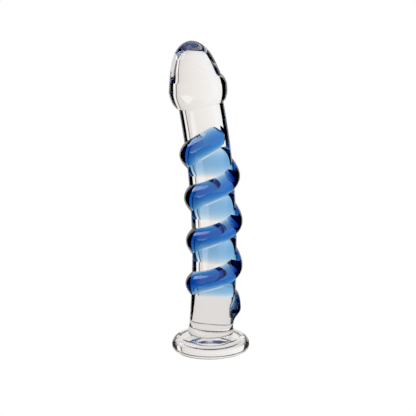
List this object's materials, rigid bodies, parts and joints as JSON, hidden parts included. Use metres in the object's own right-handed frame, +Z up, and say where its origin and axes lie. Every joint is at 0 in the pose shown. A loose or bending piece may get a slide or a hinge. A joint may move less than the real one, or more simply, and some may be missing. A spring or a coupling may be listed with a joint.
{
  "type": "glass dildo",
  "caption": "Adult product: solid clear-glass dildo, gently curved, with a formed head, a raised blue glass spiral round the shaft and a flared round foot.",
  "frame": {"origin": "centre of the foot's flat underside", "axes": "+Z up from the foot to the head; the shaft bows in the XZ plane, and the head leans towards -X; the front, seen in the picture, faces -Y"},
  "size_m": [0.0453, 0.044, 0.1776],
  "materials": {
    "clear_glass": "fire-polished clear borosilicate glass, smooth and colourless",
    "blue_glass": "fire-polished transparent cobalt-blue borosilicate glass"
  },
  "bodies": {
    "root": {"foot": "clear_glass", "foot_collar": "clear_glass", "shaft": "clear_glass", "head": "clear_glass", "spiral": "blue_glass", "spiral_tail": "blue_glass"}
  },
  "joints": []
}
